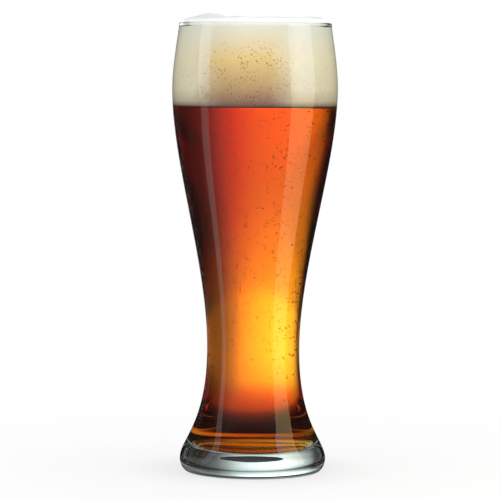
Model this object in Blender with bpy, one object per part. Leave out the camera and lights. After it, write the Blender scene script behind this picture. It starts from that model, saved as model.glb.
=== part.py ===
"""A tall waisted pilsner glass, filled with amber beer under a standing head of foam.

The glass is one piece of blown soda-lime glass: a heavy foot with a round hollow underneath, a drawn-in
waist, a belly and a beaded rim, with a wall that thins towards the top. The beer fills its cavity up to the
beer line, and the foam head stands on the beer and mounds up over the rim. All three are turned about +Z,
with the origin at the middle of the foot, on the surface that the glass stands on. Units are metres.
"""

import math

import bmesh
import bpy
from mathutils import Vector
from mathutils.geometry import interpolate_bezier

# Outside of the glass, from the foot up
GLASS_HEIGHT = 0.2320
FOOT_RADIUS = 0.0378
FOOT_HEIGHT = 0.0065
RING_OUTER_RADIUS = 0.0338
RING_INNER_RADIUS = 0.0275
HOLLOW_DEPTH = 0.0039
WAIST_RADIUS = 0.0239
WAIST_HEIGHT = 0.0635
BELLY_RADIUS = 0.0427
BELLY_BELOW_RIM = 0.0340
RIM_RADIUS = 0.0395

# Thickness of the glass
BASE_THICKNESS = 0.0105
TOE_WALL = 0.0054
WAIST_WALL = 0.0030
BELLY_WALL = 0.0021
RIM_WALL = 0.0018
BEAD_RADIUS = 0.0011

# Bottom of the cavity, where the wall rounds into the floor
TOE_RISE = 0.0047
TOE_ROUND = 0.0033

# How far in from the standing ring the two pulls of the hollow's curve lie
HOLLOW_PULL = 0.0038
HOLLOW_LEAN = 0.0011

# How far each curve of the outline leaves its end points straight up or down
FOOT_PULL = 0.0093
WAIST_PULL_DOWN = 0.0396
WAIST_PULL_UP = 0.0437
BELLY_PULL_DOWN = 0.0384
BELLY_PULL_UP = 0.0103
RIM_PULL = 0.0105
RIM_LEAN = 0.14
TOE_PULL = 0.0035
CAVITY_WAIST_PULL = 0.0320

# Beer and foam
HEAD_DEPTH = 0.0428
CONTENT_GAP = 0.0003
FOAM_RISE = 0.0024
FOAM_SHOULDER = 0.0030
FOAM_RINGS = 7

# Mounds on the foam: place across and along, reach, and rise
MOUNDS = (
    (-0.0225, -0.0050, 0.0130, 0.0022),
    (0.0285, -0.0040, 0.0090, 0.0009),
    (0.0040, 0.0220, 0.0120, 0.0010),
    (-0.0080, -0.0230, 0.0080, 0.0005),
)

# Fineness of the turned surfaces
TURN_STEPS = 48
WALL_STEPS = 11
ROUND_STEPS = 5
SHARP_ANGLE = math.radians(35)
MERGE_DISTANCE = 1e-6


def clear_scene():
    for obj in list(bpy.data.objects):
        bpy.data.objects.remove(obj)


def surface(name, colour, roughness, transmission=0.0, ior=1.45):
    """A plain Principled material."""
    made = bpy.data.materials.new(name)
    made.use_nodes = True
    shader = made.node_tree.nodes["Principled BSDF"]
    shader.inputs["Base Color"].default_value = (*colour, 1.0)
    shader.inputs["Roughness"].default_value = roughness
    shader.inputs["Metallic"].default_value = 0.0
    shader.inputs["Transmission Weight"].default_value = transmission
    shader.inputs["IOR"].default_value = ior
    return made


def span(start, pull_start, pull_end, end, steps):
    """Points along one Bezier curve in the (radius, height) plane, without its last point."""
    knots = [Vector((r, z, 0.0)) for r, z in (start, pull_start, pull_end, end)]
    return [(p.x, p.y) for p in interpolate_bezier(*knots, steps + 1)[:-1]]


def rim_bead():
    """Centre of the bead, and the angle below level at which the wall runs into it."""
    centre = (RIM_RADIUS - BEAD_RADIUS, GLASS_HEIGHT - BEAD_RADIUS)
    neck_angle = math.acos(min(1.0, RIM_WALL / 2 / BEAD_RADIUS))
    return centre, neck_angle


def rim_neck(side):
    """Where the wall meets the bead: side is 1 outside and -1 inside."""
    (bead_r, bead_z), neck_angle = rim_bead()
    return bead_r + side * RIM_WALL / 2, bead_z - BEAD_RADIUS * math.sin(neck_angle)


def belly_height():
    return GLASS_HEIGHT - BELLY_BELOW_RIM


def beer_line():
    return GLASS_HEIGHT - HEAD_DEPTH


def outside():
    """Outline of the glass from the middle of its underside up to the rim's neck."""
    ring_in = (RING_INNER_RADIUS, 0.0)
    ring_out = (RING_OUTER_RADIUS, 0.0)
    heel = FOOT_RADIUS - RING_OUTER_RADIUS
    foot = (FOOT_RADIUS, FOOT_HEIGHT)
    waist = (WAIST_RADIUS, WAIST_HEIGHT)
    belly = (BELLY_RADIUS, belly_height())
    neck = rim_neck(1)
    points = span(
        (0.0, HOLLOW_DEPTH),
        (RING_INNER_RADIUS - HOLLOW_PULL, HOLLOW_DEPTH),
        (RING_INNER_RADIUS - HOLLOW_LEAN, HOLLOW_DEPTH),
        ring_in,
        ROUND_STEPS,
    )
    points.append(ring_in)
    points += span(
        ring_out,
        (RING_OUTER_RADIUS + heel / 2, 0.0),
        (FOOT_RADIUS, FOOT_HEIGHT / 2),
        foot,
        ROUND_STEPS,
    )
    points += span(
        foot,
        (FOOT_RADIUS, FOOT_HEIGHT + FOOT_PULL),
        (WAIST_RADIUS, WAIST_HEIGHT - WAIST_PULL_DOWN),
        waist,
        WALL_STEPS,
    )
    points += span(
        waist,
        (WAIST_RADIUS, WAIST_HEIGHT + WAIST_PULL_UP),
        (BELLY_RADIUS, belly_height() - BELLY_PULL_DOWN),
        belly,
        WALL_STEPS,
    )
    points += span(
        belly,
        (BELLY_RADIUS, belly_height() + BELLY_PULL_UP),
        (neck[0] + RIM_LEAN * RIM_PULL, neck[1] - RIM_PULL),
        neck,
        ROUND_STEPS,
    )
    return points


def over_the_rim():
    """The bead's round, from the outer neck over the top to the inner neck."""
    (bead_r, bead_z), neck_angle = rim_bead()
    turn = math.pi + 2 * neck_angle
    steps = 2 * ROUND_STEPS
    angles = [turn * i / steps - neck_angle for i in range(steps + 1)]
    return [
        (bead_r + BEAD_RADIUS * math.cos(a), bead_z + BEAD_RADIUS * math.sin(a))
        for a in angles
    ]


def foot_radius_at(height):
    """Outer radius of the flaring foot at a height, read from its curve."""
    flare = [p for p in outside() if FOOT_HEIGHT <= p[1] <= WAIST_HEIGHT and p[0] >= WAIST_RADIUS]
    for low, high in zip(flare, flare[1:]):
        if low[1] <= height <= high[1]:
            share = (height - low[1]) / (high[1] - low[1])
            return low[0] + share * (high[0] - low[0])
    return FOOT_RADIUS


def cavity():
    """Outline of the cavity from the inner neck down the wall to the middle of its floor."""
    neck = rim_neck(-1)
    belly_r = BELLY_RADIUS - BELLY_WALL
    waist_r = WAIST_RADIUS - WAIST_WALL
    toe_z = BASE_THICKNESS + TOE_RISE
    toe_r = foot_radius_at(toe_z) - TOE_WALL
    floor_r = toe_r - TOE_ROUND
    floor_edge = (floor_r, BASE_THICKNESS)
    points = span(
        neck,
        (neck[0] + RIM_LEAN * RIM_PULL, neck[1] - RIM_PULL),
        (belly_r, belly_height() + BELLY_PULL_UP),
        (belly_r, belly_height()),
        ROUND_STEPS,
    )
    points += span(
        (belly_r, belly_height()),
        (belly_r, belly_height() - BELLY_PULL_DOWN),
        (waist_r, WAIST_HEIGHT + WAIST_PULL_UP),
        (waist_r, WAIST_HEIGHT),
        WALL_STEPS,
    )
    points += span(
        (waist_r, WAIST_HEIGHT),
        (waist_r, WAIST_HEIGHT - CAVITY_WAIST_PULL),
        (toe_r, toe_z + TOE_PULL),
        (toe_r, toe_z),
        WALL_STEPS,
    )
    points += span(
        (toe_r, toe_z),
        (toe_r, BASE_THICKNESS + TOE_RISE / 3),
        (floor_r + TOE_ROUND / 2, BASE_THICKNESS),
        floor_edge,
        ROUND_STEPS,
    )
    return points + [floor_edge, (0.0, BASE_THICKNESS)]


def shrunk(outline, gap):
    """The cavity's outline moved inwards by a gap, square to the wall."""
    moved = []
    for i, point in enumerate(outline):
        before = Vector(outline[max(i - 1, 0)])
        after = Vector(outline[min(i + 1, len(outline) - 1)])
        along = (after - before).normalized()
        inwards = Vector((along.y, -along.x))
        place = Vector(point) + inwards * gap
        moved.append((max(place.x, 0.0), place.y))
    moved[-1] = (0.0, outline[-1][1] + gap)
    return moved


def wall_radius_at(outline, height):
    """Radius of a cavity outline, which runs downwards, at a height."""
    for high, low in zip(outline, outline[1:]):
        if low[1] <= height <= high[1] and high[1] > low[1]:
            share = (height - low[1]) / (high[1] - low[1])
            return low[0] + share * (high[0] - low[0])
    return outline[0][0]


def turned(name, outline, finish):
    """One closed solid, turned about +Z from an outline that starts and ends on the axis."""
    shape = bmesh.new()
    corners = [shape.verts.new((r, 0.0, z)) for r, z in outline]
    for first, second in zip(corners, corners[1:]):
        shape.edges.new((first, second))
    bmesh.ops.spin(
        shape,
        geom=shape.verts[:] + shape.edges[:],
        cent=(0.0, 0.0, 0.0),
        axis=(0.0, 0.0, 1.0),
        angle=2 * math.pi,
        steps=TURN_STEPS,
        use_merge=True,
    )
    bmesh.ops.remove_doubles(shape, verts=shape.verts[:], dist=MERGE_DISTANCE)
    bmesh.ops.recalc_face_normals(shape, faces=shape.faces[:])
    mesh = bpy.data.meshes.new(name)
    shape.to_mesh(mesh)
    shape.free()
    mesh.materials.append(finish)
    mesh.shade_smooth()
    mesh.set_sharp_from_angle(angle=SHARP_ANGLE)
    made = bpy.data.objects.new(name, mesh)
    bpy.context.scene.collection.objects.link(made)
    return made


def make_glass():
    """The one-piece glass: outside, bead and cavity as a single turned wall."""
    clear_glass = surface("clear_glass", (0.93, 0.97, 0.95), 0.02, transmission=1.0, ior=1.52)
    return turned("glass", outside() + over_the_rim() + cavity()[1:], clear_glass)


def make_beer():
    """The beer, which fills the cavity from its floor up to the beer line."""
    amber_beer = surface("amber_beer", (0.72, 0.27, 0.04), 0.02, transmission=0.8, ior=1.34)
    wall = shrunk(cavity(), CONTENT_GAP)
    level = beer_line() - CONTENT_GAP
    wetted = [(wall_radius_at(wall, level), level)] + [p for p in wall if p[1] < level]
    return turned("beer", [(0.0, level)] + wetted, amber_beer)


def make_foam():
    """The foam head, which stands on the beer, fills the mouth of the glass and mounds over its rim."""
    cream_foam = surface("cream_foam", (0.86, 0.80, 0.66), 0.8)
    wall = shrunk(cavity(), CONTENT_GAP)
    bottom = beer_line()
    mouth_r = RIM_RADIUS - 2 * BEAD_RADIUS - CONTENT_GAP
    neck_z = rim_neck(-1)[1] - CONTENT_GAP
    top = GLASS_HEIGHT + FOAM_RISE
    crown_r = mouth_r - FOAM_SHOULDER
    rings = [(crown_r * i / FOAM_RINGS, top) for i in range(FOAM_RINGS)]
    shoulder = span(
        (crown_r, top),
        (crown_r + FOAM_SHOULDER / 2, top),
        (mouth_r, GLASS_HEIGHT + FOAM_RISE / 2),
        (mouth_r, GLASS_HEIGHT),
        ROUND_STEPS,
    )
    mouth = [(mouth_r, GLASS_HEIGHT), (mouth_r, neck_z)]
    inside = [p for p in wall if bottom < p[1] < neck_z and p[0] > mouth_r]
    base = [(wall_radius_at(wall, bottom), bottom), (0.0, bottom)]
    head = turned("foam_head", rings + shoulder + mouth + inside + base, cream_foam)
    for vertex in head.data.vertices:
        if vertex.co.z > GLASS_HEIGHT:
            vertex.co.z += mound_rise(vertex.co) * (vertex.co.z - GLASS_HEIGHT) / FOAM_RISE
    return head


def mound_rise(place):
    """How much the mounds lift the foam at a place: each is a smooth round swelling."""
    rise = 0.0
    for across, along, reach, height in MOUNDS:
        away = math.hypot(place.x - across, place.y - along) / reach
        if away < 1.0:
            rise += height * (1 + math.cos(math.pi * away)) / 2
    return rise


clear_scene()
make_glass()
make_beer()
make_foam()
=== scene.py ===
"""A tall waisted pilsner glass of amber beer under a standing head of foam, in a plain white studio.

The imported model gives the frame. Its three solids are faceted, and glass shows every facet, so each one is
replaced by a finely turned piece of the same shape, with the finish of clear glass, amber beer and foam.
"""

import math
import random

import bmesh
import bpy
from mathutils import Matrix, Quaternion, Vector, noise
from mathutils.geometry import interpolate_bezier


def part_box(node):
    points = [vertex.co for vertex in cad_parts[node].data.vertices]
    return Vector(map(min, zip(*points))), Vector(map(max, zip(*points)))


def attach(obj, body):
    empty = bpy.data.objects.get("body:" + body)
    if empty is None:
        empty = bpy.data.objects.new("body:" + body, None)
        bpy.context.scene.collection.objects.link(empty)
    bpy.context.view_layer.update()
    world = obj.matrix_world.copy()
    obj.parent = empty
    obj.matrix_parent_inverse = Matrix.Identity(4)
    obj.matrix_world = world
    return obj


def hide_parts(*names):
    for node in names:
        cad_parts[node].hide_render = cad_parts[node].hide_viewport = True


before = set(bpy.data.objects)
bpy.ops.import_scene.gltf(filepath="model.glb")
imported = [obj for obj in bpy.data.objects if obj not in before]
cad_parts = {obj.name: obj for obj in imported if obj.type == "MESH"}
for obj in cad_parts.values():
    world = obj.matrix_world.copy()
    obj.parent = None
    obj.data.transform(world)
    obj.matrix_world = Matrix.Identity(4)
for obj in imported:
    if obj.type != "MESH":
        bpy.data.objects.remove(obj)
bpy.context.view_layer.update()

# Glass
# One piece of blown soda-lime glass, turned from one outline: a heavy foot on a flat ring, a drawn-in waist,
# a belly and a beaded rim. The inner wall that beer or foam wets is a second finish of the same glass: light
# bends less there, because no air lies against it.
GLASS_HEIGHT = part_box("glass")[1][2]
BELLY_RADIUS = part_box("glass")[1][0]
BEER_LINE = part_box("foam_head")[0][2]
FOOT_RADIUS = 0.0378
FOOT_HEIGHT = 0.0065
RING_OUTER_RADIUS = 0.0338
RING_INNER_RADIUS = 0.0275
HOLLOW_DEPTH = 0.0039
WAIST_RADIUS = 0.0239
WAIST_HEIGHT = 0.0635
BELLY_BELOW_RIM = 0.0340
BELLY_HEIGHT = GLASS_HEIGHT - BELLY_BELOW_RIM
RIM_RADIUS = 0.0395
BASE_THICKNESS = 0.0105
TOE_RADIUS = 0.0295
TOE_HEIGHT = 0.0152
TOE_ROUND = 0.0033
WAIST_WALL = 0.0030
BELLY_WALL = 0.0021
RIM_WALL = 0.0018
BEAD_RADIUS = 0.0011
HOLLOW_PULL = 0.0038
HOLLOW_LEAN = 0.0011
FOOT_PULL = 0.0093
WAIST_PULL_DOWN = 0.0396
WAIST_PULL_UP = 0.0437
BELLY_PULL_DOWN = 0.0384
BELLY_PULL_UP = 0.0103
RIM_PULL = 0.0105
RIM_LEAN = 0.14
FOAM_NECK_CLEAR = 0.0004
TOE_PULL = 0.0035
CAVITY_WAIST_PULL = 0.0320
TURN_STEPS = 160
WALL_POINTS = 44
ROUND_POINTS = 12
MERGE_DISTANCE = 1e-6
IOR_GLASS = 1.52
IOR_BEER = 1.34
WALL_TINT = (0.985, 0.995, 0.99, 1.0)
FOOT_TINT = (0.55, 0.69, 0.66, 1.0)
RIPPLE_SCALE = 45.0
RIPPLE_DETAIL = 1.0
RIPPLE_DEPTH = 0.00003

bead = (RIM_RADIUS - BEAD_RADIUS, GLASS_HEIGHT - BEAD_RADIUS)
bead_angle = math.acos(RIM_WALL / 2 / BEAD_RADIUS)
neck_height = bead[1] - BEAD_RADIUS * math.sin(bead_angle)


def span(start, pull_start, pull_end, end, count):
    """Points of one Bezier curve in the (radius, height) plane, without its last point."""
    knots = [Vector((r, z, 0.0)) for r, z in (start, pull_start, pull_end, end)]
    return [(p.x, p.y) for p in interpolate_bezier(*knots, count + 1)[:-1]]


def outside_wall():
    """The glass's outline from the middle of its underside up to the bead."""
    middle = (0.0, HOLLOW_DEPTH)
    ring_inner = (RING_INNER_RADIUS, 0.0)
    ring_outer = (RING_OUTER_RADIUS, 0.0)
    foot = (FOOT_RADIUS, FOOT_HEIGHT)
    waist = (WAIST_RADIUS, WAIST_HEIGHT)
    belly = (BELLY_RADIUS, BELLY_HEIGHT)
    neck = (bead[0] + RIM_WALL / 2, neck_height)
    hollow_pulls = [(RING_INNER_RADIUS - pull, HOLLOW_DEPTH) for pull in (HOLLOW_PULL, HOLLOW_LEAN)]
    heel_pulls = ((RING_OUTER_RADIUS + FOOT_RADIUS) / 2, 0.0), (FOOT_RADIUS, FOOT_HEIGHT / 2)
    foot_pulls = (foot[0], foot[1] + FOOT_PULL), (waist[0], waist[1] - WAIST_PULL_DOWN)
    belly_pulls = (waist[0], waist[1] + WAIST_PULL_UP), (belly[0], belly[1] - BELLY_PULL_DOWN)
    rim_pulls = (belly[0], belly[1] + BELLY_PULL_UP), (neck[0] + RIM_LEAN * RIM_PULL, neck[1] - RIM_PULL)
    points = span(middle, *hollow_pulls, ring_inner, ROUND_POINTS)
    points += [ring_inner]
    points += span(ring_outer, *heel_pulls, foot, ROUND_POINTS)
    points += span(foot, *foot_pulls, waist, WALL_POINTS)
    points += span(waist, *belly_pulls, belly, WALL_POINTS)
    points += span(belly, *rim_pulls, neck, ROUND_POINTS)
    return points


def rim_bead():
    """The bead's round, from the outer wall over the top to the inner wall."""
    turn = math.pi + 2 * bead_angle
    angles = [turn * i / ROUND_POINTS - bead_angle for i in range(ROUND_POINTS + 1)]
    return [(bead[0] + BEAD_RADIUS * math.cos(a), bead[1] + BEAD_RADIUS * math.sin(a)) for a in angles]


def inside_wall():
    """The cavity's outline from the bead down to the middle of its floor."""
    neck = (bead[0] - RIM_WALL / 2, neck_height)
    belly = (BELLY_RADIUS - BELLY_WALL, BELLY_HEIGHT)
    waist = (WAIST_RADIUS - WAIST_WALL, WAIST_HEIGHT)
    toe = (TOE_RADIUS, TOE_HEIGHT)
    floor = (TOE_RADIUS - TOE_ROUND, BASE_THICKNESS)
    rim_pulls = (neck[0] + RIM_LEAN * RIM_PULL, neck[1] - RIM_PULL), (belly[0], belly[1] + BELLY_PULL_UP)
    belly_pulls = (belly[0], belly[1] - BELLY_PULL_DOWN), (waist[0], waist[1] + WAIST_PULL_UP)
    toe_pulls = (waist[0], waist[1] - CAVITY_WAIST_PULL), (toe[0], toe[1] + TOE_PULL)
    round_pulls = (toe[0], (toe[1] + 2 * floor[1]) / 3), ((toe[0] + floor[0]) / 2, floor[1])
    points = span(neck, *rim_pulls, belly, ROUND_POINTS)
    points += span(belly, *belly_pulls, waist, WALL_POINTS)
    points += span(waist, *toe_pulls, toe, WALL_POINTS)
    points += span(toe, *round_pulls, floor, ROUND_POINTS)
    return points + [floor, (0.0, BASE_THICKNESS)]


def cut_at(outline, height):
    """Splits a downward outline at a height, with a point there on both parts."""
    above = [p for p in outline if p[1] > height]
    below = [p for p in outline if p[1] <= height]
    high, low = above[-1], below[0]
    share = (height - low[1]) / (high[1] - low[1])
    meet = (low[0] + share * (high[0] - low[0]), height)
    return above + [meet], [meet] + below


def turn_into(shape, outline, finish):
    """Turns an outline about +Z into a bmesh, with one finish on its faces."""
    before = set(shape.faces)
    corners = [shape.verts.new((r, 0.0, z)) for r, z in outline]
    edges = [shape.edges.new(pair) for pair in zip(corners, corners[1:])]
    bmesh.ops.spin(
        shape, geom=corners + edges, cent=(0, 0, 0), axis=(0, 0, 1), angle=2 * math.pi, steps=TURN_STEPS,
        use_merge=True,
    )
    for face in set(shape.faces) - before:
        face.material_index = finish


def new_object(name, shape, materials):
    """Makes an object of a bmesh, with its materials, and puts it in the scene."""
    mesh = bpy.data.meshes.new(name)
    shape.to_mesh(mesh)
    shape.free()
    for material in materials:
        mesh.materials.append(material)
    made = bpy.data.objects.new(name, mesh)
    bpy.context.scene.collection.objects.link(made)
    return made


def finish_piece(name, shape, materials):
    """Closes a bmesh's seams, turns its faces outwards and makes it a smooth object."""
    bmesh.ops.remove_doubles(shape, verts=shape.verts[:], dist=MERGE_DISTANCE)
    bmesh.ops.recalc_face_normals(shape, faces=shape.faces[:])
    piece = new_object(name, shape, materials)
    piece.data.shade_smooth()
    return piece


def add_node(tree, kind, inputs, **settings):
    """Adds a shader node. Each input takes a plain value or another node's socket."""
    node = tree.nodes.new("ShaderNode" + kind)
    for name, value in settings.items():
        setattr(node, name, value)
    for name, value in inputs.items():
        if isinstance(value, bpy.types.NodeSocket):
            tree.links.new(value, node.inputs[name])
        else:
            node.inputs[name].default_value = value
    return node


def maths(tree, operation, first, second=0.0):
    """A Math node on two sockets or numbers."""
    return add_node(tree, "Math", {0: first, 1: second}, operation=operation).outputs["Value"]


def eased(tree, value, start, end):
    """A value that rises smoothly from 0 at the start to 1 at the end."""
    reach = {"Value": value, "From Min": start, "From Max": end}
    return add_node(tree, "MapRange", reach, interpolation_type="SMOOTHSTEP").outputs["Result"]


def mixed(tree, share, first, second, data_type="RGBA", **settings):
    """A mix of two colours, or of two plain values, by a share from 0 to 1."""
    inputs = {"Factor": share, "A": first, "B": second}
    return add_node(tree, "Mix", inputs, data_type=data_type, **settings).outputs["Result"]


def object_place(tree):
    """Object coordinates, as a vector and as its parts X, Y and Z."""
    place = add_node(tree, "TexCoord", {}).outputs["Object"]
    return place, add_node(tree, "SeparateXYZ", {"Vector": place}).outputs


def new_group(name, sockets):
    """A shader node group with named sockets, given as (name, direction, type)."""
    group = bpy.data.node_groups.new(name, "ShaderNodeTree")
    for label, direction, kind in sockets:
        group.interface.new_socket(label, in_out=direction, socket_type="NodeSocket" + kind)
    return group, group.nodes.new("NodeGroupInput"), group.nodes.new("NodeGroupOutput")


def place_group(tree, group, place):
    """Places a node group in a tree, reads it at a place and gives its outputs."""
    node = tree.nodes.new("ShaderNodeGroup")
    node.node_tree = group
    tree.links.new(place, node.inputs["Place"])
    return node.outputs


def blown_wall():
    """The cast and the faint waviness of blown glass: greener in the heavy foot, rippled along the wall."""
    sockets = ("Place", "INPUT", "Vector"), ("Cast", "OUTPUT", "Color"), ("Normal", "OUTPUT", "Vector")
    group, given, out = new_group("blown_wall", sockets)
    place = given.outputs["Place"]
    up = add_node(group, "SeparateXYZ", {"Vector": place}).outputs["Z"]
    foot = eased(group, up, WAIST_HEIGHT / 2, 0.0)
    cast = mixed(group, foot, WALL_TINT, FOOT_TINT)
    ripple = add_node(group, "TexNoise", {"Vector": place, "Scale": RIPPLE_SCALE, "Detail": RIPPLE_DETAIL})
    wave = add_node(group, "Bump", {"Height": ripple.outputs["Fac"], "Distance": RIPPLE_DEPTH})
    group.links.new(cast, out.inputs["Cast"])
    group.links.new(wave.outputs["Normal"], out.inputs["Normal"])
    return group


def new_material(name):
    """A material with its Principled shader, and its node tree."""
    material = bpy.data.materials.new(name)
    material.use_nodes = True
    return material, material.node_tree, material.node_tree.nodes["Principled BSDF"]


def clear_body(tree, shader, cast, ior):
    """Makes a shader a clear, smooth body with a given cast and index of refraction."""
    tree.links.new(cast, shader.inputs["Base Color"])
    shader.inputs["Roughness"].default_value = 0.0
    shader.inputs["Transmission Weight"].default_value = 1.0
    shader.inputs["IOR"].default_value = ior


def clear_glass(name, wall, ior):
    """Clear glass with the cast and the waviness of the blown wall."""
    material, tree, shader = new_material(name)
    looks = place_group(tree, wall, add_node(tree, "TexCoord", {}).outputs["Object"])
    clear_body(tree, shader, looks["Cast"], ior)
    tree.links.new(looks["Normal"], shader.inputs["Normal"])
    return material


dry_wall, wet_wall = cut_at(inside_wall(), neck_height - FOAM_NECK_CLEAR)
glass_shape = bmesh.new()
turn_into(glass_shape, outside_wall() + rim_bead() + dry_wall[1:], 0)
turn_into(glass_shape, wet_wall, 1)
wall_looks = blown_wall()
dry_glass = clear_glass("clear_glass", wall_looks, IOR_GLASS)
wet_glass = clear_glass("wetted_glass", wall_looks, IOR_GLASS / IOR_BEER)
glass = finish_piece("pilsner_glass", glass_shape, [dry_glass, wet_glass])
glass.visible_shadow = False
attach(glass, "root")
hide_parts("glass")

# Beer
# The amber liquid lies against the wetted wall and under the foam, and that wall alone bends the light.
# Its colour is in its depth: it takes blue first, then green, and red least, so it is golden where thin
# and red-brown where deep. Low down and on its left side the skin is tinted redder: painted red light that
# stands in for redder light there.
BEER_GAP = 0.00004
BEER_ABSORBS = (0.964, 0.743, 0.0, 1.0)
BEER_DENSITY = 140.0
WHITE = (1.0, 1.0, 1.0, 1.0)
BEER_CLOUDED = (0.97, 0.95, 0.90, 1.0)
CLOUD_SCALE = 30.0
CLOUD_DETAIL = 2.0
# Painted red light low in the beer: the skin is tinted redder between these heights.
PAINTED_RED_LOW = (1.0, 0.40, 0.50, 1.0)
PAINTED_RED_LOW_TOP = (0.046, 0.036)
PAINTED_RED_LOW_FOOT = (0.006, 0.024)
# Painted red light on the beer's left side, strongest low down.
PAINTED_RED_LIGHT = (1.0, 0.28, 0.45, 1.0)
RED_SIDE = (0.004, -0.014)
RED_RISE = (0.085, 0.135)
RED_LEAST = 0.35


def moved_in(outline, gap):
    """A cavity outline moved inwards, square to the wall."""
    moved = []
    for i, point in enumerate(outline):
        along = Vector(outline[min(i + 1, len(outline) - 1)]) - Vector(outline[max(i - 1, 0)])
        along.normalize()
        moved.append((max(point[0] + along.y * gap, 0.0), point[1] - along.x * gap))
    moved[-1] = (0.0, outline[-1][1] + gap)
    return moved


def amber_beer():
    """A clear liquid whose colour is in its depth, with a trace of cloud and painted red light low down and
    on its left.
    """
    material, tree, shader = new_material("amber_beer")
    place, parts = object_place(tree)
    cloud = add_node(tree, "TexNoise", {"Vector": place, "Scale": CLOUD_SCALE, "Detail": CLOUD_DETAIL})
    skin = mixed(tree, cloud.outputs["Fac"], WHITE, BEER_CLOUDED)
    # Painted red light: the skin is tinted redder low down.
    below_top = eased(tree, parts["Z"], *PAINTED_RED_LOW_TOP)
    painted_red_low = maths(tree, "MULTIPLY", below_top, eased(tree, parts["Z"], *PAINTED_RED_LOW_FOOT))
    skin = mixed(tree, painted_red_low, skin, PAINTED_RED_LOW)
    # Painted red light: the skin is tinted redder on the left, most low down.
    rise = {"Value": parts["Z"], "From Min": RED_RISE[0], "From Max": RED_RISE[1], "To Min": RED_LEAST}
    red = eased(tree, parts["X"], *RED_SIDE)
    red = maths(tree, "MULTIPLY", red, add_node(tree, "MapRange", rise).outputs["Result"])
    clear_body(tree, shader, mixed(tree, red, skin, PAINTED_RED_LIGHT), 1.0)
    depth = add_node(tree, "VolumeAbsorption", {"Color": BEER_ABSORBS, "Density": BEER_DENSITY})
    tree.links.new(depth.outputs["Volume"], tree.nodes["Material Output"].inputs["Volume"])
    return material


foam_side, beer_side = cut_at(wet_wall, BEER_LINE)
beer_wall = moved_in(beer_side, BEER_GAP)
beer_top = BEER_LINE - BEER_GAP
beer_shape = bmesh.new()
turn_into(beer_shape, [(0.0, beer_top), (beer_wall[0][0], beer_top)] + beer_wall[1:], 0)
beer = finish_piece("beer_fill", beer_shape, [amber_beer()])
beer.visible_shadow = False
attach(beer, "root")
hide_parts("beer")

# Bubbles
# Gas that rises through the beer in loose trails close to the wet wall. Each bubble is tinted dark, painted
# shade that makes it show as a dark speck against the bright beer.
BUBBLE_SEED = 23
TRAILS = 180
BUBBLES_IN_TRAIL = 11
BUBBLE_RADII = (0.00019, 0.00034)
BUBBLE_CLEAR = 0.0008
TRAIL_WANDER = 0.0022
TRAIL_DEPTHS = (0.84, 0.97)
TRAIL_STARTS = (0.003, 0.08)
# Painted shade: the dark tints that make each bubble show as a dark speck.
BUBBLE_PAINTED_SHADE = (0.32, 0.20, 0.12, 1.0)
BUBBLE_DEEPER_PAINTED_SHADE = (0.10, 0.05, 0.03, 1.0)
PAINTED_SHADE_SCALE = 400.0
BUBBLE_SIDES = 8
BUBBLE_BANDS = 5


def wall_radius(height):
    """The radius of the beer at a height."""
    above = [p for p in beer_wall if p[1] >= height][-1]
    below = [p for p in beer_wall if p[1] < height][0]
    share = (height - below[1]) / (above[1] - below[1])
    return below[0] + share * (above[0] - below[0])


def dark_painted_bubble():
    """Gas in beer, tinted dark as painted shade, a little darker on some bubbles than on others."""
    material, tree, shader = new_material("dark_painted_bubble")
    place = add_node(tree, "TexCoord", {}).outputs["Object"]
    # Painted shade, a little darker on some bubbles than on others.
    shade_spread = add_node(tree, "TexNoise", {"Vector": place, "Scale": PAINTED_SHADE_SCALE}).outputs["Fac"]
    clear_body(tree, shader, mixed(tree, shade_spread, BUBBLE_PAINTED_SHADE, BUBBLE_DEEPER_PAINTED_SHADE), 1 / IOR_BEER)
    return material


draw = random.Random(BUBBLE_SEED)
round_bubble = bpy.data.meshes.new("round_bubble")
one_bubble = bmesh.new()
bmesh.ops.create_uvsphere(one_bubble, u_segments=BUBBLE_SIDES, v_segments=BUBBLE_BANDS, radius=1.0)
one_bubble.to_mesh(round_bubble)
one_bubble.free()
bubble_shape = bmesh.new()
for trail in range(TRAILS):
    turn = draw.uniform(0, 2 * math.pi)
    depth = draw.uniform(*TRAIL_DEPTHS)
    start = BASE_THICKNESS + draw.uniform(*TRAIL_STARTS)
    for count in range(BUBBLES_IN_TRAIL):
        height = start + (BEER_LINE - BUBBLE_CLEAR - start) * draw.random()
        reach = depth * wall_radius(height)
        wander = Vector((draw.gauss(0, TRAIL_WANDER), draw.gauss(0, TRAIL_WANDER), 0))
        place = Vector((reach * math.cos(turn), reach * math.sin(turn), height)) + wander
        radius = draw.uniform(*BUBBLE_RADII)
        if math.hypot(place.x, place.y) + radius + BUBBLE_CLEAR < wall_radius(height):
            blown = round_bubble.copy()
            blown.transform(Matrix.Translation(place) @ Matrix.Scale(radius, 4))
            bubble_shape.from_mesh(blown)
            bpy.data.meshes.remove(blown)
bpy.data.meshes.remove(round_bubble)
bubbles = new_object("beer_bubbles", bubble_shape, [dark_painted_bubble()])
bubbles.data.shade_smooth()
bubbles.visible_shadow = False
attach(bubbles, "root")

# Foam head
# A matte cream of fine bubbles that stands on the beer and fills the mouth of the glass. It is tan and wet
# at the beer, where the bubbles are coarse, and nearly white where it mounds up over the rim. Painted shade
# makes it near black in a thin band along the beer, darker down the middle of its front and back, where the
# side strips light it least, and dark in the pits between bubbles.
FOAM_GAP = 0.00012
FOAM_RISE = 0.0024
FOAM_SHOULDER = 0.0030
FOAM_RINGS = 40
LUMP_HEIGHT = 0.0005
LUMP_SCALE = 160
MOUNDS = (
    (-0.0225, -0.0050, 0.0130, 0.0022),
    (0.0285, -0.0040, 0.0090, 0.0009),
    (0.0040, 0.0220, 0.0120, 0.0010),
    (-0.0080, -0.0230, 0.0080, 0.0005),
)
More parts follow.
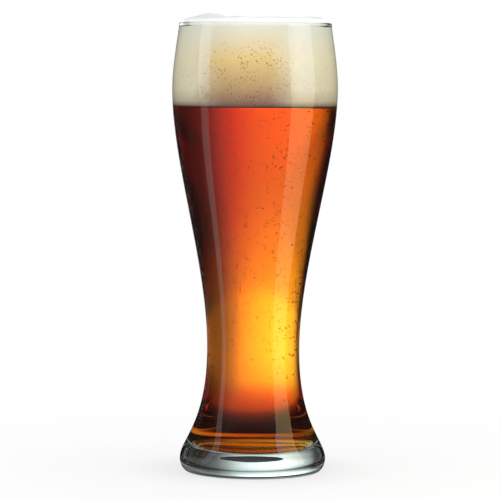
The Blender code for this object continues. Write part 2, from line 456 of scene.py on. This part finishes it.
# The wet band is partly painted shade: darker down the middle of the front and back, where the side strips
# light the foam least.
WET_SHADE_SHIFT = 0.005
WET_SHADE_REACH = (0.034, 0.016)
DRIFT_SCALE = 70.0
DRIFT_DETAIL = 3.0
DRIFT_REACH = 0.012
CROWD_SCALE = 120.0
CROWD_DETAIL = 2.0
CROWD_RANGE = (0.36, 0.54)
PIT_SCALES = (620.0, 1050.0)
PIT_HOLE = (0.34, 0.16)
PIT_PICK = (0.25, 0.45)
PIT_LEAST = 0.3
PIT_HEIGHT = (0.9, 0.5)
# Painted shade in the pits between bubbles.
PIT_PAINTED_SHADE = (0.45, 0.33, 0.22, 1.0)
PEBBLE_SCALE = 1500.0
PEBBLE_DEPTH = 0.0001
PEBBLE_STRENGTH = 0.6
FOAM_ROUGHNESS = 0.75
# Both runs start near black at the beer: painted shade, a dark band along the foot of the foam.
DRY_FOAM = (
    (0.0, (0.05, 0.015, 0.012)),
    (0.02, (0.30, 0.24, 0.16)),
    (0.07, (0.60, 0.53, 0.37)),
    (0.21, (0.82, 0.74, 0.52)),
    (0.57, (0.91, 0.82, 0.58)),
    (0.93, (0.88, 0.85, 0.70)),
    (1.0, (0.90, 0.89, 0.83)),
)
# Wet foam, tan as foam at the beer is, and darker as painted shade down the middle.
WET_SHADED_FOAM = (
    (0.0, (0.04, 0.01, 0.01)),
    (0.02, (0.18, 0.09, 0.06)),
    (0.07, (0.30, 0.17, 0.11)),
    (0.21, (0.52, 0.33, 0.15)),
    (0.57, (0.86, 0.63, 0.27)),
    (0.93, (0.86, 0.82, 0.67)),
    (1.0, (0.90, 0.89, 0.83)),
)


def mound_rise(place):
    """How much the mounds lift the foam at a place."""
    rise = 0.0
    for across, along, reach, height in MOUNDS:
        away = math.hypot(place.x - across, place.y - along) / reach
        if away < 1.0:
            rise += height * (1 + math.cos(math.pi * away)) / 2
    return rise


def colour_run(tree, value, stops):
    """Reads a value from 0 to 1 through a run of (place, colour) stops."""
    ramp = add_node(tree, "ValToRGB", {"Fac": value})
    marks = ramp.color_ramp.elements
    marks.remove(marks[1])
    marks[0].color = (*stops[0][1], 1.0)
    for place, colour in stops[1:]:
        marks.new(place).color = (*colour, 1.0)
    return ramp.outputs["Color"]


def wet_and_shaded_middle(tree, place, across):
    """How wet and shaded the foam is: most in a band down the middle, partly painted shade where the side
    strips light it least, with a ragged edge.
    """
    off_middle = maths(tree, "ABSOLUTE", maths(tree, "ADD", across, WET_SHADE_SHIFT))
    drift = add_node(tree, "TexNoise", {"Vector": place, "Scale": DRIFT_SCALE, "Detail": DRIFT_DETAIL})
    drift = maths(tree, "MULTIPLY", drift.outputs["Fac"], DRIFT_REACH)
    return eased(tree, maths(tree, "ADD", off_middle, drift), *WET_SHADE_REACH)


def foam_pits(tree, place, wet_and_shaded, height):
    """Dark pits between bubbles of two sizes, painted shade: in crowds, and most where the foam is wet and
    shaded and low.
    """
    crowd = add_node(tree, "TexNoise", {"Vector": place, "Scale": CROWD_SCALE, "Detail": CROWD_DETAIL})
    crowd = eased(tree, crowd.outputs["Fac"], *CROWD_RANGE)
    pits = []
    for scale in PIT_SCALES:
        cells = add_node(tree, "TexVoronoi", {"Vector": place, "Scale": scale})
        hole = eased(tree, cells.outputs["Distance"], *PIT_HOLE)
        pick = add_node(tree, "SeparateColor", {"Color": cells.outputs["Color"]}).outputs["Red"]
        pits.append(maths(tree, "MULTIPLY", hole, eased(tree, pick, *PIT_PICK)))
    pit = maths(tree, "MULTIPLY", maths(tree, "MAXIMUM", *pits), crowd)
    wet_shade_share = add_node(tree, "MapRange", {"Value": wet_and_shaded, "To Min": PIT_LEAST}).outputs["Result"]
    pit = maths(tree, "MULTIPLY", pit, wet_shade_share)
    return maths(tree, "MULTIPLY", pit, eased(tree, height, *PIT_HEIGHT))


def cream_foam():
    """Foam: colour by height and by wetness with painted shade, painted shade in the pits between bubbles,
    and a fine pebbled surface.
    """
    material, tree, shader = new_material("cream_foam")
    place, parts = object_place(tree)
    head = {"Value": parts["Z"], "From Min": BEER_LINE, "From Max": GLASS_HEIGHT}
    height = add_node(tree, "MapRange", head).outputs["Result"]
    wet_and_shaded = wet_and_shaded_middle(tree, place, parts["X"])
    # Painted shade: the darker wet run is laid down the middle of the foam.
    cream = mixed(tree, wet_and_shaded, colour_run(tree, height, DRY_FOAM), colour_run(tree, height, WET_SHADED_FOAM))
    # Painted shade darkens the pits.
    pitted = mixed(tree, foam_pits(tree, place, wet_and_shaded, height), WHITE, PIT_PAINTED_SHADE)
    colour = mixed(tree, 1.0, cream, pitted, blend_type="MULTIPLY")
    tree.links.new(colour, shader.inputs["Base Color"])
    grain = add_node(tree, "TexVoronoi", {"Vector": place, "Scale": PEBBLE_SCALE}).outputs["Distance"]
    pebble = {"Height": grain, "Distance": PEBBLE_DEPTH, "Strength": PEBBLE_STRENGTH}
    tree.links.new(add_node(tree, "Bump", pebble).outputs["Normal"], shader.inputs["Normal"])
    shader.inputs["Roughness"].default_value = FOAM_ROUGHNESS
    return material


foam_wall = moved_in(foam_side, FOAM_GAP)[1:-1]
mouth = RIM_RADIUS - 2 * BEAD_RADIUS - FOAM_GAP
crown = mouth - FOAM_SHOULDER
foam_top = GLASS_HEIGHT + FOAM_RISE
shoulder_pulls = (crown + FOAM_SHOULDER / 2, foam_top), (mouth, GLASS_HEIGHT + FOAM_RISE / 2)
foam_outline = [(crown * i / FOAM_RINGS, foam_top) for i in range(FOAM_RINGS)]
foam_outline += span((crown, foam_top), *shoulder_pulls, (mouth, GLASS_HEIGHT), ROUND_POINTS)
foam_outline += [(mouth, GLASS_HEIGHT), (mouth, neck_height)]
foam_outline += foam_wall + [(foam_side[-1][0] - FOAM_GAP, BEER_LINE), (0.0, BEER_LINE)]
foam_shape = bmesh.new()
turn_into(foam_shape, foam_outline, 0)
for vertex in foam_shape.verts:
    over_rim = (vertex.co.z - GLASS_HEIGHT) / FOAM_RISE
    if over_rim > 0:
        lump = LUMP_HEIGHT * noise.noise(vertex.co * LUMP_SCALE)
        vertex.co.z += (mound_rise(vertex.co) + lump) * over_rim
foam = finish_piece("foam_cream", foam_shape, [cream_foam()])
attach(foam, "root")
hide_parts("foam_head")

# Studio
# A pale floor in a white room. Glass and beer show a low glow behind them, between dark flags that draw the
# edges of the glass. Two strip lights beside the glass, each with a low and a high part, are mirrored in it.
# Two soft lights beside the camera light the foam.
FLOOR_DISC_RADIUS = 1.1
FLOOR_DISC_STEPS = 64
FLOOR_COLOUR = (0.86, 0.86, 0.86, 1.0)
FLOOR_ROUGHNESS = 0.9
FLOOR_KEEPS_SHADOW = ((0.045, 0.55), (0.07, 0.80), (0.14, 0.93), (0.30, 1.0))
FLOOR_LEAST = ((0.10, 0.03), (0.22, 0.12), (0.34, 0.28), (0.55, 0.28), (1.1, 0.22))
FLOOR_BEHIND = (1.55, 1.05)
# Painted shadow of the foot on the floor as seen through the glass: dark close round it, with a thin painted
# ring of light just at its edge.
FLOOR_PAINTED_FOOT_SHADOW = (
    (0.034, 0.006), (0.038, 0.45), (0.042, 0.45), (0.046, 0.01), (0.06, 0.02), (0.07, 0.05), (0.08, 0.12),
    (0.09, 0.25), (0.11, 0.36), (0.15, 0.5), (0.24, 0.78), (0.40, 0.95), (0.60, 1.0),
)
ROOM_LOW = (
    (-180, 1.0), (-72, 1.0), (-58, 0.5), (-52, 0.16), (-45, 0.16), (-41, 0.9), (-37, 1.2), (-31, 2.0),
    (-27, 2.3), (-20, 2.9), (-13, 3.1), (-8, 2.9), (-3, 2.6), (2, 2.2), (6, 1.75), (9, 1.2), (13, 0.75),
    (20, 0.35), (28, 0.24), (50, 0.24), (70, 1.0), (180, 1.0),
)
ROOM_HIGH = (
    (-180, 1.0), (-92, 1.0), (-74, 0.005), (-51, 0.005), (-44, 0.10), (-38, 0.42), (-28, 0.80), (-19, 1.15),
    (-11, 1.2), (-6, 1.15), (-1, 1.05), (4, 0.92), (9, 0.76), (14, 0.40), (20, 0.15), (28, 0.045),
    (40, 0.01), (76, 0.005), (94, 1.0), (180, 1.0),
)
ROOM_GLOW_UP = (
    (0.0, 1.0), (0.004, 1.0), (0.012, 0.8), (0.022, 0.55), (0.032, 0.38), (0.05, 0.3), (0.075, 0.22),
    (0.10, 0.0),
)
ROOM_UPWARDS = (
    (0.13, 1.0), (0.155, 0.45), (0.19, 0.3), (0.31, 0.25), (0.36, 0.9), (0.50, 0.9), (0.56, 0.05),
    (1.0, 0.03),
)
ROOM_REFLECTED = (
    (0.0, 0.42), (0.9, 0.42), (1.3, 0.2), (1.6, 0.08), (2.0, 0.04), (2.4, 0.02), (3.15, 0.01),
)
ROOM_REFLECTED_UP = ((0.35, 1.0), (0.60, 0.15), (1.0, 0.05))
SHADE = 0.55
FRONT_AIM = Vector((0.0, 0.0, 0.2))
FRONT_SIZE = (0.8, 0.8)
FRONT_LIGHTS = (
    ("front_left_light", Vector((-0.9, -1.1, 0.6)), 3.8),
    ("front_right_light", Vector((1.0, -0.9, 0.6)), 4.25),
)
PLAIN = (1.0, 1.0, 1.0)
GOLD = (1.0, 0.78, 0.38)
COOL = (0.55, 0.74, 1.0)
STRIP_SPLIT = 0.187
STRIP_LENGTH = 0.48
LEFT_STRIP_PLACE = Vector((-0.20, -0.085, STRIP_SPLIT))
LEFT_STRIP_AIM = Vector((0.0, 0.0, STRIP_SPLIT))
LEFT_STRIP_PARTS = ("_low", 0.045, -11, 0.75, PLAIN), ("_high", 0.072, 16, 2.2, COOL)
RIGHT_STRIP_PLACE = Vector((0.214, -0.10, STRIP_SPLIT))
RIGHT_STRIP_AIM = Vector((0.027, -0.03, STRIP_SPLIT))
RIGHT_STRIP_PARTS = ("_low", 0.15, 0, 2.0, GOLD), ("_high", 0.166, 0, 2.0, COOL)


def strength_run(tree, value, stops):
    """Reads a value through a run of (place, strength) stops."""
    low, high = stops[0][0], stops[-1][0]
    top = max(strength for place, strength in stops)
    reach = {"Value": value, "From Min": low, "From Max": high}
    share = add_node(tree, "MapRange", reach).outputs["Result"]
    marks = [((place - low) / (high - low), (strength / top,) * 3) for place, strength in stops]
    return maths(tree, "MULTIPLY", colour_run(tree, share, marks), top)


def length_of(tree, first, second):
    """The length of the hypotenuse on two sockets."""
    squares = maths(tree, "MULTIPLY", first, first), maths(tree, "MULTIPLY", second, second)
    return maths(tree, "SQRT", maths(tree, "ADD", *squares))


def room_reflected(tree, across, along):
    """What glass reflects of the room: pale round the camera, dark to the sides and behind."""
    turn = maths(tree, "ARCTAN2", across, maths(tree, "MULTIPLY", along, -1.0))
    return strength_run(tree, maths(tree, "ABSOLUTE", turn), ROOM_REFLECTED)


def room_behind():
    """The light that glass and beer show, by bearing and by height over the floor."""
    sockets = ("Place", "INPUT", "Vector"), ("Light", "OUTPUT", "Color")
    group, given, out = new_group("room_behind", sockets)
    parts = add_node(group, "SeparateXYZ", {"Vector": given.outputs["Place"]}).outputs
    degrees = maths(group, "DEGREES", maths(group, "ARCTAN2", parts["X"], parts["Y"]))
    low = strength_run(group, degrees, ROOM_LOW)
    high = strength_run(group, degrees, ROOM_HIGH)
    glow = strength_run(group, parts["Z"], ROOM_GLOW_UP)
    walls = mixed(group, glow, high, low, "FLOAT")
    light = maths(group, "MULTIPLY", walls, strength_run(group, parts["Z"], ROOM_UPWARDS))
    group.links.new(light, out.inputs["Light"])
    return group


def studio_floor(room):
    """A pale round floor, white to the camera, that keeps a soft shadow round the foot."""
    shape = bmesh.new()
    bmesh.ops.create_circle(shape, cap_ends=True, radius=FLOOR_DISC_RADIUS, segments=FLOOR_DISC_STEPS)
    material, tree, shader = new_material("pale_floor")
    shader.inputs["Base Color"].default_value = FLOOR_COLOUR
    shader.inputs["Roughness"].default_value = FLOOR_ROUGHNESS
    place, parts = object_place(tree)
    across, along = parts["X"], parts["Y"]
    away = length_of(tree, across, along)
    past_shadow = strength_run(tree, away, FLOOR_KEEPS_SHADOW)
    # Painted shadow of the foot, with a thin painted ring of light at its edge, seen through the glass.
    painted_foot_shadow = strength_run(tree, away, FLOOR_PAINTED_FOOT_SHADOW)
    turn = maths(tree, "ABSOLUTE", maths(tree, "ARCTAN2", across, along))
    shade = mixed(tree, eased(tree, turn, *FLOOR_BEHIND), past_shadow, painted_foot_shadow, "FLOAT")
    glow = maths(tree, "MULTIPLY", place_group(tree, room, place)["Light"], shade)
    glow = maths(tree, "MAXIMUM", glow, strength_run(tree, away, FLOOR_LEAST))
    path = add_node(tree, "LightPath", {}).outputs
    white = add_node(tree, "Emission", {"Color": WHITE}).outputs["Emission"]
    dim = add_node(tree, "Emission", {"Strength": room_reflected(tree, across, along)}).outputs["Emission"]
    lit = add_node(tree, "Emission", {"Color": glow}).outputs["Emission"]
    share = maths(tree, "MULTIPLY", past_shadow, path["Is Camera Ray"])
    mix = add_node(tree, "MixShader", {0: share, 1: shader.outputs["BSDF"], 2: white}).outputs["Shader"]
    mix = add_node(tree, "MixShader", {0: path["Is Glossy Ray"], 1: mix, 2: dim}).outputs["Shader"]
    mix = add_node(tree, "MixShader", {0: path["Is Transmission Ray"], 1: mix, 2: lit}).outputs["Shader"]
    tree.links.new(mix, tree.nodes["Material Output"].inputs["Surface"])
    new_object("studio_floor", shape, [material])


def studio_world(room):
    """White to the camera, the room behind to glass and beer, dim to reflections, soft on plain surfaces."""
    world = bpy.data.worlds.new("studio")
    world.use_nodes = True
    tree = world.node_tree
    ray = add_node(tree, "TexCoord", {}).outputs["Generated"]
    parts = add_node(tree, "SeparateXYZ", {"Vector": ray}).outputs
    path = add_node(tree, "LightPath", {}).outputs
    through = place_group(tree, room, ray)["Light"]
    reflected = room_reflected(tree, parts["X"], parts["Y"])
    reflected = maths(tree, "MULTIPLY", reflected, strength_run(tree, parts["Z"], ROOM_REFLECTED_UP))
    level = mixed(tree, path["Is Diffuse Ray"], 1.0, SHADE, "FLOAT")
    level = mixed(tree, path["Is Glossy Ray"], level, reflected, "FLOAT")
    level = mixed(tree, path["Is Transmission Ray"], level, through, "FLOAT")
    tree.links.new(level, tree.nodes["Background"].inputs["Color"])
    bpy.context.scene.world = world


def soft_light(name, place, turn, size, radiance):
    """A rectangular soft light of an even radiance, out of the camera's own sight."""
    lamp = bpy.data.lights.new(name, "AREA")
    lamp.shape = "RECTANGLE"
    lamp.size, lamp.size_y = size
    lamp.energy = radiance * math.pi * size[0] * size[1]
    stand = bpy.data.objects.new(name, lamp)
    stand.location = place
    stand.rotation_euler = turn.to_euler()
    stand.visible_camera = False
    stand.visible_transmission = False
    bpy.context.scene.collection.objects.link(stand)
    return stand


def front_light(name, place, radiance):
    """A large soft light beside the camera, which polished glass doesn't mirror."""
    turn = (FRONT_AIM - place).to_track_quat("-Z", "Y")
    soft_light(name, place, turn, FRONT_SIZE, radiance).visible_glossy = False


def strip_light(name, place, aim, parts):
    """An upright strip, low part and high part: each a name, width, lean in degrees, radiance and colour."""
    ends = (-STRIP_SPLIT, 0.0), (0.0, STRIP_LENGTH - STRIP_SPLIT)
    for (low, high), (part, width, lean, radiance, colour) in zip(ends, parts):
        turn = (aim - place).to_track_quat("-Z", "Y") @ Quaternion((0.0, 0.0, 1.0), math.radians(lean))
        middle = place + turn @ Vector((0.0, (low + high) / 2, 0.0))
        soft_light(name + part, middle, turn, (width, high - low), radiance).data.color = colour


behind = room_behind()
studio_floor(behind)
studio_world(behind)
strip_light("left_strip", LEFT_STRIP_PLACE, LEFT_STRIP_AIM, LEFT_STRIP_PARTS)
strip_light("right_strip", RIGHT_STRIP_PLACE, RIGHT_STRIP_AIM, RIGHT_STRIP_PARTS)
for name, place, radiance in FRONT_LIGHTS:
    front_light(name, place, radiance)

# Camera
# It stands a little below the top of the glass, far off with a long lens, and looks slightly down on it.
# The glass, the beer and the bubbles need many bounces of light.
CAMERA_AWAY = 1.4722
CAMERA_HEIGHT = 0.21283
CAMERA_TILT = math.radians(3.814)
CAMERA_ROLL = math.radians(-0.40)
CAMERA_ACROSS = -0.0027
LENS = 205.2
SENSOR = 36.0
LIGHT_BOUNCES = 24

lens = bpy.data.cameras.new("photo_camera")
lens.sensor_width = SENSOR
lens.lens = LENS
camera = bpy.data.objects.new("photo_camera", lens)
camera.location = (CAMERA_ACROSS, -CAMERA_AWAY, CAMERA_HEIGHT)
camera.rotation_euler = (math.pi / 2 - CAMERA_TILT, CAMERA_ROLL, 0.0)
bpy.context.scene.collection.objects.link(camera)
bpy.context.scene.camera = camera
bpy.context.scene.view_settings.view_transform = "Standard"
bpy.context.scene.cycles.max_bounces = LIGHT_BOUNCES
bpy.context.scene.cycles.transmission_bounces = LIGHT_BOUNCES
